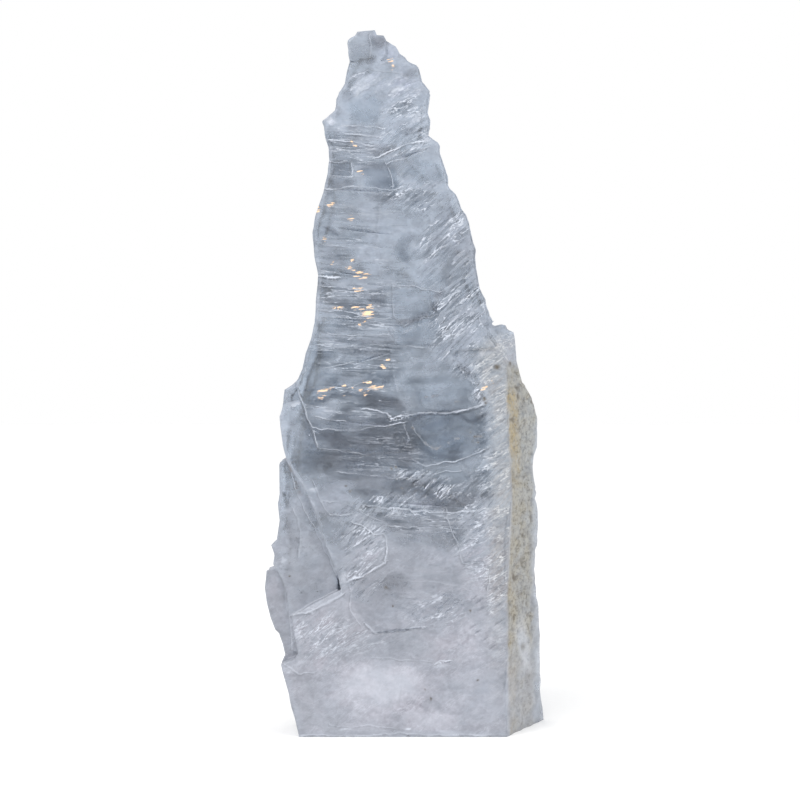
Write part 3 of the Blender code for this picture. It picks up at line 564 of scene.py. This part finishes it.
def copy_of_node(name):
    """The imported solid's mesh, its split vertices joined again."""
    mesh = bmesh.new()
    mesh.from_mesh(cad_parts[name].data)
    bmesh.ops.remove_doubles(mesh, verts=mesh.verts, dist=0.001 * MM)
    return mesh


def numbers(items, name, width, kind=float):
    """One property of all the items, a row for each."""
    values = np.empty(len(items) * width, dtype=kind)
    items.foreach_get(name, values)
    return values.reshape(-1, width)


def measured(mesh, scratch):
    """Vertex places in millimetres and the vertex pair of each edge."""
    mesh.to_mesh(scratch)
    pairs = numbers(scratch.edges, "vertices", 2, np.int32)
    return numbers(scratch.vertices, "co", 3) / MM, pairs


def marked(plane):
    """1 where ticks, cracks and painted warm glints are dense, for the finest mesh."""
    value = patches(plane, [spot for zone in TICK_ZONES for spot in zone[0]], 0.2)
    for path, *_ in CRACKS:
        distance, _ = off_path(plane, path)
        value = np.maximum(value, ease(distance, 0.9, 0.5))
    small = [(x, y, long / 2 + 2, thick / 2 + 2, 1.0, lean) for x, y, long, thick, lean in PAINTED_GLINTS]
    return np.maximum(value, patches(plane, small, 0.1))


class EdgeMap:
    """The longest edge wanted on the front, worked out once on a grid over its plane."""

    STEP = 0.4

    def __init__(self, plane):
        self.low = plane.min(axis=0) - 1
        self.size = np.ceil((plane.max(axis=0) + 1 - self.low) / self.STEP).astype(int)
        x, z = np.meshgrid(*(np.arange(size) for size in self.size), indexing="ij")
        grid = np.column_stack([x.ravel(), z.ravel()]) * self.STEP + self.low
        values = EDGE_FRONT + (EDGE_MARKED - EDGE_FRONT) * marked(grid)
        self.values = values.reshape(self.size)

    def at(self, middles):
        """Short on the front and the right face, long on the back."""
        plane = seen(middles)
        cell = np.round((plane - self.low) / self.STEP).astype(int)
        cell = np.clip(cell, 0, self.size - 1)
        wanted = self.values[cell[:, 0], cell[:, 1]]
        right = right_of_ridge(plane) > 0.5
        wanted = np.where(right, EDGE_SIDE, wanted)
        between = ease(middles[:, 1], FRONT + 7, FRONT + 9) * ~right
        wanted = np.maximum(wanted, EDGE_FRONT + (EDGE_FLANK - EDGE_FRONT) * between)
        toward_back = ease(middles[:, 1], 8.5, BACK - 0.3)
        return wanted + (EDGE_BACK - wanted) * toward_back


def divide(mesh):
    """Cuts long edges in half again and again, and keeps the triangles on flat faces well shaped."""
    scratch = bpy.data.meshes.new("scratch")
    wanted = EdgeMap(seen(measured(mesh, scratch)[0]))
    for _ in range(DIVIDE_ROUNDS):
        places, pairs = measured(mesh, scratch)
        length = np.linalg.norm(places[pairs[:, 0]] - places[pairs[:, 1]], axis=1)
        middles = (places[pairs[:, 0]] + places[pairs[:, 1]]) / 2
        long = np.flatnonzero(length > 1.3 * wanted.at(middles))
        if len(long) < FEW_EDGES:
            break
        mesh.edges.ensure_lookup_table()
        bmesh.ops.subdivide_edges(mesh, edges=[mesh.edges[i] for i in long], cuts=1)
        cut = [face for face in mesh.faces if len(face.verts) > 3]
        made = bmesh.ops.triangulate(mesh, faces=cut)["faces"]
        edges = {edge for face in made for edge in face.edges}
        flat = [edge for edge in edges if edge.calc_face_angle(1.0) < FLAT_ANGLE]
        bmesh.ops.beautify_fill(mesh, faces=made, edges=flat)
    bpy.data.meshes.remove(scratch)


def pushed_outline(plane):
    """How far each point is pushed right and up."""
    pushed = np.zeros_like(plane)
    for x, y, right_by, down_by, reach in PUSHES:
        away = np.hypot(*(plane - on_front((x, y))).T) / PIXEL
        pushed += np.exp(-(away / reach) ** 2)[:, None] * np.array([right_by, -down_by]) * PIXEL
    return pushed


def cut_marks(plane):
    """The marks of all the ticks, striations and cracks."""
    random = np.random.default_rng(SEED)
    marks = Marks(plane)
    for zone in TICK_ZONES + STRIA_ZONES + STEEP_ZONES:
        for one in strokes_in(zone, random):
            marks.stroke(*one)
    for crack in CRACKS:
        marks.crack(*crack)
    return marks


def stains(points, plane, pits, run):
    """Ochre and rust beside the ridge, soil in the pits and in specks, and thin brown threads."""
    _, down = in_photo(plane)
    beside = off_ridge(plane) / PIXEL
    lower = below_shoulder(plane, 0.5, 1.5)
    ochre = ease(beside, 12, 5) * ease(beside, -3, 1) * lower
    ochre *= 0.25 + 0.75 * (ease(down, 380, 400) * ease(down, 500, 440))
    ochre *= 0.4 + 0.9 * run
    rust = ease(down, 560, 600) * ease(down, 665, 640) * ease(beside, 8, 2) * ease(beside, -3, 1)
    ochre = np.clip(np.maximum(ochre, 0.8 * rust * run) * lower, 0, 1)
    soil = pits * ease(down, 700, 600) * (0.4 + 0.6 * ease(lumps(points, 5, 72), -0.2, 0.5))
    for x, y, size in SPECKS:
        distance = np.hypot(*(plane - on_front((x, y))).T) / PIXEL
        soil = np.maximum(soil, ease(distance, size * 1.5, size * 0.6))
    thread = np.zeros(len(plane))
    for path in THREADS:
        thread = np.maximum(thread, ease(off_path(plane, path)[0], 0.45, 0.15))
    thread *= ease(lumps(deep(plane), 0.8, 73), -0.4, 0.4)
    return ochre, soil, thread


def painted_warm_glints(plane):
    """Where the painted warm glints are, the longer the stronger."""
    painted_glint = np.zeros(len(plane))
    for x, y, long, thick, lean in PAINTED_GLINTS:
        spot = (x, y, long / 2 + 0.6, thick / 2 + 0.3, min(0.95, 0.6 + 0.04 * long), lean)
        painted_glint = np.maximum(painted_glint, patch(plane, spot, 0.5))
    return painted_glint


def shape(points, normals):
    """Moves for each point of the crystal, and its marks by name."""
    plane = seen(points)
    pushed = pushed_outline(plane)
    plane = plane + pushed
    flat = deep(plane)
    across, down = in_photo(plane)
    right = right_of_ridge(plane)
    front = ease(points[:, 1], 3.0, -4.0) * (1 - right)
    back = ease(points[:, 1], 4.0, 11.0)
    marks = cut_marks(plane)

    bent = plane + 1.6 * np.column_stack([lumps(flat, 6, 21), lumps(flat, 6, 22)])
    window = np.maximum(patches(plane, WINDOW, 0.25), patches(bent, BLOCKS, 0.08, corners=8))
    # Painted shade where refraction and total reflection darken the clear crystal
    painted_dark = patches(bent, PAINTED_DARK_ZONES, 0.5)
    bright = patches(bent, BRIGHT_AND_HIGHLIT, 0.5)

    # The front: shallow waves, fine level grain, ticks and cracks
    plain = 1 - 0.85 * window
    waves = 0.10 * rough(flat, 14, 31) + 0.05 * rough(flat, (7, 1, 1.1), 32) * plain
    waves += 0.035 * lumps(flat, 0.9, 33) * plain

    # The right face: grains, lumps and pits
    grains = 0.14 * rough(points, (2.4, 7, 2.4), 41) + 0.10 * rough(points, (0.9, 2.7, 0.9), 42)
    pits = ease(lumps(points, (1.6, 5.0, 1.3), 43), 0.45, 0.8) * right
    side_move = (grains - 0.45 * pits) * right

    # The back: waves and long grain
    back_move = (0.10 * rough(points, 11, 51) + 0.05 * rough(points, (6, 1, 1.0), 52)) * back

    # Broken edges all round: small ragged chips across the outline
    outward = normals.copy()
    outward[:, 1] = 0
    edge = np.linalg.norm(outward, axis=1)
    chips = 0.22 * rough(points, 2.0, 61) * ease(edge, 0.5, 0.95) * (1 - right)

    moves = outward * chips[:, None]
    moves[:, 0] += side_move * 0.95 + pushed[:, 0]
    moves[:, 1] += back_move - (waves + marks.height) * front - side_move * 0.3
    moves[:, 2] += pushed[:, 1]
    moves *= ease(points[:, 2], 0.05, 1.2)[:, None]

    # How milky the crystal is, from its level down the blade to its clouds, band, rim and back
    veil = 0.5 + 0.5 * rough(flat, (16, 1, 9), 81)
    milk = np.interp(down, *zip(*MILK_LEVEL)) + 0.22 * (veil - 0.5) + patches(bent, CLOUD, 0.5) * 0.6
    milk = milk * (1 - 0.75 * painted_dark) * (1 - 0.35 * window)
    beside_band = across - np.interp(down, *zip(*BAND_LEFT))
    band = ease(beside_band, -2, 18) * ease(down, 322, 345) * ease(down, 780, 500)
    rim = ease(off_sides(points, plane, edge), 1.5, 0.2) * (0.8 + 0.2 * lumps(flat, 1.5, 82))
    rim = np.maximum(rim, ease(edge, 0.55, 0.9))
    for whiter in (0.72 * band, 0.7 * rim, 0.8 * bright):
        milk = np.maximum(milk, whiter)
    milk = np.clip(milk + (0.9 - milk) * right, 0.02, 0.95)
    milk = milk * (1 - back) + (0.45 + 0.25 * rough(points, 7, 83)) * back

    def zone_of(zones):
        """Where some zones of strokes lie, all together."""
        return patches(bent, [spot for zone in zones for spot in zone[0]], 0.6)

    run = 0.5 + 0.5 * lumps(points, (2, 6, 6), 71)
    ochre, soil, thread = stains(points, plane, pits, run)
    low_ticks = zone_of([zone for zone in TICK_ZONES if zone[1] < STEEP_TICK])
    steep_ticks = zone_of([zone for zone in TICK_ZONES if zone[1] >= STEEP_TICK])
    face = ease(points[:, 1], FRONT + 2.5, FRONT + 1.0) * (1 - right)
    return moves, {
        "hatch_steep": steep_ticks * front,
        "hatch_low": np.maximum(low_ticks, 0.8 * band) * front,
        "stria": zone_of(STRIA_ZONES) * front,
        "foot": ease(down, 430, 600),
        "milk": milk,
        "painted_dark": painted_dark * (1 - right) * (1 - back),
        "window": window * (1 - right) * (1 - back),
        # Painted highlights on the lips of the ticks, and painted shade in their grooves
        "white": np.clip(marks.white, 0, 1) * front,
        "shade": np.clip(marks.shade, 0, 1) * front,
        "bright": bright * (1 - back),
        "dull": patches(bent, DULL, 0.6) * (1 - back),
        "painted_flake_highlight": patches(plane, PAINTED_FLAKE_HIGHLIGHTS, 0.5) * front,
        "crumble": patches(bent, CRUMBLES, 0.5) * front,
        "crack_off": marks.off,
        "crack": marks.bright * front,
        "ochre": ochre * (1 - back),
        "soil": soil * (1 - back),
        "thread": thread * front,
        "painted_glint": painted_warm_glints(plane) * face,
        "grain": right,
        "grit": right * ease(down, 690, 600) * (0.35 + 0.65 * run),
        "band": band * front,
        "rim": rim * (1 - right) * (1 - back),
        "lined": np.maximum(front, 0.7 * back),
        "back": back,
    }


def crystal():
    """The blade as one fine mesh, with its marks as attributes."""
    mesh = copy_of_node("selenite_blade")
    divide(mesh)
    data = bpy.data.meshes.new("selenite_crystal")
    mesh.normal_update()
    mesh.to_mesh(data)
    mesh.free()
    points = numbers(data.vertices, "co", 3) / MM
    moves, marks = shape(points, numbers(data.vertices, "normal", 3))
    data.vertices.foreach_set("co", ((points + moves) * MM).ravel())
    for name, values in marks.items():
        layer = data.attributes.new(name, "FLOAT", "POINT")
        layer.data.foreach_set("value", values.astype(np.float32))
    data.shade_smooth()
    data.set_sharp_from_angle(angle=math.radians(35))
    data.update()
    data.materials.append(crystal_material())
    return placed("selenite_crystal", data)


# Materials

class Nodes:
    """A new material and short ways to add shader nodes to it. Most return a node's output."""

    def __init__(self, name):
        self.material = bpy.data.materials.new(name)
        self.material.use_nodes = True
        self.tree = self.material.node_tree
        self.tree.nodes.clear()
        self.shader = self.add("ShaderNodeBsdfPrincipled")
        self.output = self.add("ShaderNodeOutputMaterial")
        self.feed(self.output.inputs["Surface"], self.shader.outputs[0])

    def add(self, kind, given=(), **settings):
        """A new node with its settings, and what its sockets are given, by name or number."""
        node = self.tree.nodes.new(kind)
        for name, value in settings.items():
            setattr(node, name, value)
        for socket, value in dict(given).items():
            self.feed(node.inputs[socket], value)
        return node

    def feed(self, socket, value):
        """Gives a socket an output, the mark of a name, or a plain number or colour."""
        if isinstance(value, str):
            value = self.add("ShaderNodeAttribute", attribute_name=value).outputs["Fac"]
        if isinstance(value, bpy.types.NodeSocket):
            self.tree.links.new(value, socket)
        elif value is not None:
            socket.default_value = value

    def surface(self, name, value):
        self.feed(self.shader.inputs[name], value)

    def math(self, operation, a, b=None, clamp=False):
        return self.add("ShaderNodeMath", {0: a, 1: b}, operation=operation, use_clamp=clamp).outputs[0]

    def times(self, a, b, clamp=False):
        return self.math("MULTIPLY", a, b, clamp)

    def plus(self, a, b, clamp=False):
        return self.math("ADD", a, b, clamp)

    def gap(self, a, b):
        """How far two values are apart."""
        return self.math("ABSOLUTE", self.math("SUBTRACT", a, b))

    def most(self, first, *others):
        """The largest of several values."""
        for other in others:
            first = self.math("MAXIMUM", first, other)
        return first

    def ease(self, value, low, high, to_low=0.0, to_high=1.0):
        given = enumerate((value, low, high, to_low, to_high))
        return self.add("ShaderNodeMapRange", given, interpolation_type="SMOOTHSTEP").outputs[0]

    def mix(self, share, a, b):
        """Colour a where share is 0 and b where it is 1."""
        a, b = ((*colour, 1) if isinstance(colour, tuple) else colour for colour in (a, b))
        return self.add("ShaderNodeMix", {"Factor": share, 6: a, 7: b}, data_type="RGBA").outputs[2]

    def tint(self, colour, name, share, other):
        """A colour that turns toward another where a mark lies, by a share of the mark."""
        return self.mix(self.times(name, share), colour, other)

    def place(self, scale=(1, 1, 1)):
        """Object coordinates in millimetres, scaled along each axis."""
        place = self.add("ShaderNodeTexCoord").outputs["Object"]
        scale = [size / MM for size in scale]
        return self.add("ShaderNodeMapping", {"Vector": place, "Scale": scale}).outputs[0]

    def leaning(self, lean, length, gap):
        """Object coordinates whose cells are long along a lean in the front face, and thin across."""
        turn = math.radians(lean)
        along = (math.cos(turn) / length, 0, math.sin(turn) / length)
        across = (-math.sin(turn) / gap, 0, math.cos(turn) / gap)
        place = self.place()
        parts = {}
        for axis, direction in enumerate((along, (0, 0.2, 0), across)):
            dot = self.add("ShaderNodeVectorMath", {0: place, 1: direction}, operation="DOT_PRODUCT")
            parts[axis] = dot.outputs["Value"]
        return self.add("ShaderNodeCombineXYZ", parts).outputs[0]

    def noise(self, vector, scale, detail=3.0, roughness=0.55, distortion=0.0):
        given = {"Vector": vector, "Scale": scale, "Detail": detail, "Roughness": roughness,
                 "Distortion": distortion}
        return self.add("ShaderNodeTexNoise", given).outputs["Fac"]

    def hairlines(self, lean, length, gap, thin, seed):
        """Thin broken lines along a lean: their painted highlight, the painted shade below it, and the
        noise behind.
        """
        given = {0: self.leaning(lean, length, gap), 1: (seed * 7.1, seed * 3.7, seed * 5.3)}
        place = self.add("ShaderNodeVectorMath", given, operation="ADD").outputs[0]
        field = self.noise(place, 1.0, 3.0, 0.55, 0.15)
        line = self.ease(self.gap(field, 0.5), thin, 0.0)
        below = self.ease(self.gap(field, 0.5 - 1.6 * thin), thin, 0.0)
        broken = self.ease(self.noise(place, 0.37, 1.0), 0.42, 0.56)
        return self.times(line, broken), self.times(below, broken), field


# Hairlines of the front: the zone's mark, their lean, length, gap and thinness, then the least
# and the most of their white painted highlight and of their dark sides of painted shade
HAIRLINES = [
    ("stria", (-3, 9.0, 0.75, 0.035), (0.03, 0.75), (0.0, 0.3)),
    ("hatch_steep", (42, 5.0, 0.85, 0.04), (0.14, 1.0), (0.06, 0.45)),
    ("hatch_low", (26, 4.0, 0.8, 0.04), (0.12, 1.0), (0.06, 0.45)),
    ("foot", (33, 4.0, 0.8, 0.035), (0.10, 0.30), (0.05, 0.16)),
]

# Colours. Of two in one line, the second is where noise makes the crystal lighter.
CLEAR = (0.675, 0.765, 0.875)
CLEAR_PAINTED_DARK = (0.245, 0.257, 0.30)
CLEAR_WINDOW = (0.48, 0.59, 0.72)
CLEAR_FOOT = (0.46, 0.455, 0.51)
CLOUDY_UPPER = (0.19, 0.222, 0.295), (0.32, 0.352, 0.44)
CLOUDY_FOOT = (0.255, 0.253, 0.293), (0.345, 0.342, 0.395)
SANDY_BAND = (0.165, 0.161, 0.155), (0.275, 0.27, 0.262)
WARM_STONE = (0.12, 0.112, 0.09), (0.295, 0.283, 0.245)
COOL_STONE = (0.20, 0.198, 0.195), (0.31, 0.31, 0.315)
CLOUDY_DULL = (0.19, 0.195, 0.225)
CLOUDY_BRIGHT = (0.55, 0.58, 0.65)
CLOUDY_RIM = (0.38, 0.41, 0.48)
CLOUDY_BACK = (0.40, 0.43, 0.49)
MOTTLE = (0.12, 0.125, 0.155)
# The first colour below is for painted shade, the next two for painted highlights and white marks
PAINTED_SHADE = (0.10, 0.11, 0.135)
WHITE_FRONT = (0.63, 0.67, 0.75)
WHITE_BAND = (0.58, 0.59, 0.60)
OCHRE = (0.36, 0.27, 0.12)
THREAD = (0.15, 0.105, 0.075)
SOIL = (0.085, 0.07, 0.05)
# Colour of the painted warm glints
PAINTED_GLINT = (1.0, 0.66, 0.38)
ABSORPTION = (0.461, 0.518, 0.591, 1)
ABSORPTION_DENSITY = 90.0


def fine_lines(n, smooth):
    """Painted highlight and painted shade of all the hairlines, and the noise behind each set by its
    zone.
    """
    white, hairline_shade, fields = 0.0, 0.0, {}
    for seed, (zone, form, whites, darks) in enumerate(HAIRLINES, 1):
        line, below, fields[zone] = n.hairlines(*form, seed)
        for_white = n.ease(zone, 0.0, 0.8, *whites)
        for_dark = n.ease(zone, 0.0, 0.8, *darks)
        white = n.most(white, n.times(n.times(line, for_white), smooth))
        hairline_shade = n.most(hairline_shade, n.times(n.times(below, for_dark), smooth))
    return n.times(white, "lined"), n.times(hairline_shade, "lined"), fields


def fractures(n, flakes):
    """A thin white line of painted highlight along each crack, and a thin dark one of painted shade
    below it.
    """
    ragged = n.plus("crack_off", n.ease(flakes, 0.3, 0.7, -0.5, 0.5))
    line = n.ease(n.gap(ragged, 0.0), 1.1, 0.25)
    below = n.ease(n.gap(ragged, -1.7), 1.2, 0.2)
    return n.times(line, "crack"), n.times(below, "crack")


def crumbs(n):
    """The painted shade of the holes in the crumbled places, and the painted highlight on their edges.
    """
    holes = n.noise(n.place(), 1.15, 4.0, 0.7)
    hole_shade = n.times(n.ease(holes, 0.46, 0.38), "crumble")
    edge = n.times(n.ease(n.gap(holes, 0.49), 0.028, 0.0), "crumble")
    return hole_shade, edge


def clear_colour(n, flakes):
    """The colour of the crystal where it is clear."""
    # Painted shade: the clear crystal darkened where refraction and total reflection make it look dark
    painted_dark = n.times("painted_dark", n.ease(flakes, 0.3, 0.6, 0.8, 1.1), clamp=True)
    clear = n.mix(painted_dark, CLEAR, CLEAR_PAINTED_DARK)
    clear = n.tint(clear, "window", 0.6, CLEAR_WINDOW)
    return n.tint(clear, "foot", 0.35, CLEAR_FOOT)


def cloudy_colour(n, flakes):
    """The colour of the crystal where it is milky, and of the rough right face."""
    upper = n.mix(n.ease(flakes, 0.35, 0.7), *CLOUDY_UPPER)
    lower = n.mix(n.ease(flakes, 0.35, 0.7), *CLOUDY_FOOT)
    cloudy = n.mix("foot", upper, lower)
    cloudy = n.tint(cloudy, "band", 0.8, n.mix(n.ease(flakes, 0.4, 0.6), *SANDY_BAND))
    cloudy = n.tint(cloudy, "dull", 0.7, CLOUDY_DULL)
    grains = n.ease(n.noise(n.place(scale=(1, 0.3, 1)), 1.1, 4.0, 0.65), 0.36, 0.56)
    warm = n.mix(grains, *WARM_STONE)
    cool = n.mix(grains, *COOL_STONE)
    stone = n.mix(n.ease("grit", 0.0, 0.4), cool, warm)
    cloudy = n.mix("grain", cloudy, stone)
    cloudy = n.tint(cloudy, "bright", 0.6, CLOUDY_BRIGHT)
    cloudy = n.tint(cloudy, "rim", 0.5, CLOUDY_RIM)
    return n.tint(cloudy, "back", 0.6, CLOUDY_BACK)


def crystal_material():
    """Clear gypsum with milky veils, fractures with painted highlights and shade, stains and painted
    warm glints.
    """
    n = Nodes("clear_selenite_fine")
    flakes = n.noise(n.place(), 0.9, 5.0, 0.65)
    veil = n.noise(n.place(scale=(1, 1, 1.6)), 0.12, 5.0, 0.6, 0.6)
    smooth = n.ease(n.most("window", "bright"), 0.2, 1.0, 1.0, 0.3)

    # White marks, mostly painted highlights, and dark marks of painted shade
    lines, hairline_shade, fields = fine_lines(n, smooth)
    line, below = fractures(n, flakes)
    hole_shade, hole_edge_highlight = crumbs(n)
    dust = n.ease(n.noise(n.place(), 2.4, 2.0, 0.6), 0.54, 0.68, 0.0, 0.22)
    # Painted highlight on the small broken facets
    painted_facet_highlight = n.math("SUBTRACT", "painted_flake_highlight", n.ease(flakes, 0.35, 0.65, 0.0, 0.55))
    painted_facet_highlight = n.ease(painted_facet_highlight, 0.15, 0.6, 0.0, 0.62)
    white = n.most(n.times("white", 0.6), lines, line, n.times(dust, "painted_dark"),
                   n.times(hole_edge_highlight, 0.6), painted_facet_highlight)
    shade = n.most(n.times("shade", 0.45), below, hairline_shade, hole_shade)

    # Stains and painted warm glints
    dash = n.noise(n.leaning(6, 2.2, 0.26), 1.0, 1.0)
    painted_glint = n.math("SUBTRACT", "painted_glint", n.ease(dash, 0.40, 0.54, 0.0, 1.0))
    painted_glint = n.ease(painted_glint, 0.05, 0.34)
    stain = n.times("ochre", n.ease(flakes, 0.35, 0.62, 0.25, 0.8))
    thread = n.times("thread", 0.6)
    grit = n.ease(n.noise(n.place(scale=(1, 0.3, 1)), 1.7, 3.0, 0.6), 0.60, 0.66)
    soil = n.most("soil", n.times(grit, "grit"))

    # Body is how milky the crystal itself is, and milk also hides it under marks and stains
    veil = n.ease(veil, 0.3, 0.7, -0.14, 0.14)
    streak = n.times(n.ease(fields["stria"], 0.38, 0.62, -0.12, 0.12), "stria")
    barb = n.ease(fields["hatch_steep"], 0.36, 0.64, -0.2, 0.2)
    barb = n.times(barb, n.most("hatch_steep", "hatch_low"))
    body = "milk"
    for more in (veil, n.times(streak, smooth), n.times(barb, smooth)):
        body = n.plus(body, more, clamp=True)
    milk = n.most(body, white, painted_glint, soil, thread, stain)

    colour = n.mix(body, clear_colour(n, flakes), cloudy_colour(n, flakes))
    mottle = n.noise(n.place(scale=(1, 1, 1.4)), 0.3, 6.0, 0.6, 0.4)
    colour = n.mix(n.times(n.ease(mottle, 0.58, 0.38, 0.0, 0.24), smooth), colour, MOTTLE)
    colour = n.mix(n.times(shade, 0.65), colour, PAINTED_SHADE)
    colour = n.mix(white, colour, n.mix("band", WHITE_FRONT, WHITE_BAND))
    colour = n.mix(stain, colour, OCHRE)
    colour = n.mix(thread, colour, THREAD)
    colour = n.mix(soil, colour, SOIL)
    colour = n.mix(n.times(painted_glint, 0.9), colour, PAINTED_GLINT)
    n.surface("Base Color", colour)
    n.surface("Transmission Weight", n.math("SUBTRACT", 1.0, milk, clamp=True))
    n.surface("Roughness", n.ease(milk, 0.1, 0.8, 0.16, 0.5))
    n.surface("IOR", 1.52)

    height = n.plus(n.times(flakes, 0.35), n.times(fields["stria"], n.ease("stria", 0, 1, 0.1, 0.4)))
    for zone in ("hatch_steep", "hatch_low"):
        height = n.plus(height, n.times(fields[zone], zone))
    relief = {"Strength": 0.5, "Distance": 0.3 * MM, "Height": height}
    n.surface("Normal", n.add("ShaderNodeBump", relief).outputs[0])

    inside = n.add("ShaderNodeVolumeAbsorption", {"Color": ABSORPTION, "Density": ABSORPTION_DENSITY})
    n.feed(n.output.inputs["Volume"], inside.outputs[0])
    return n.material


def floor_material():
    """Matt white studio paper."""
    n = Nodes("studio_paper")
    fibre = n.noise(n.place(), 0.4, 4.0)
    n.surface("Base Color", n.mix(fibre, (0.86, 0.86, 0.86), (0.90, 0.90, 0.90)))
    n.surface("Roughness", n.ease(fibre, 0.2, 0.8, 0.85, 0.95))
    return n.material


# Stage, in metres. All lamps face the middle of the blade.

MIDDLE = Vector((0, 0, 0.1))


def floor():
    """A wide round floor."""
    mesh = bmesh.new()
    bmesh.ops.create_circle(mesh, cap_ends=True, segments=96, radius=6.0)
    data = bpy.data.meshes.new("studio_floor")
    mesh.to_mesh(data)
    mesh.free()
    data.materials.append(floor_material())
    placed("studio_floor", data)


def light(name, place, size, power, colour):
    """A square soft light."""
    data = bpy.data.lights.new(name, "AREA")
    data.size = size
    data.energy = power
    data.color = colour
    lamp = placed(name, data)
    lamp.location = place
    lamp.rotation_euler = (MIDDLE - lamp.location).to_track_quat("-Z", "Y").to_euler()


def sun():
    """A weak and very soft light from high on the left, which keeps the floor white far out."""
    data = bpy.data.lights.new("high", "SUN")
    data.energy = 0.6
    data.angle = math.radians(40)
    placed("high", data).rotation_euler = (math.radians(35), math.radians(-20), 0)


def surroundings():
    """An even white surround."""
    world = bpy.data.worlds.new("studio")
    world.use_nodes = True
    world.node_tree.nodes["Background"].inputs["Color"].default_value = (1, 1, 1, 1)
    bpy.context.scene.world = world


def camera():
    """A level camera at the photograph's place."""
    data = bpy.data.cameras.new("camera")
    data.sensor_width = SENSOR
    data.lens = FOCAL_PIXELS * SENSOR / PHOTO_SIDE
    piece = placed("camera", data)
    piece.location = [value * MM for value in CAMERA]
    piece.rotation_euler = (math.radians(90), 0, 0)
    bpy.context.scene.camera = piece


camera()
blade = crystal()
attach(blade, "root")
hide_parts("selenite_blade")
floor()
surroundings()
light("key", (-0.9, -0.9, 1.1), 0.7, 9.0, (1.0, 0.98, 0.95))
sun()
light("fill", (1.1, -0.6, 0.7), 0.8, 6.0, (0.95, 0.97, 1.0))
bpy.context.scene.view_settings.view_transform = "Standard"
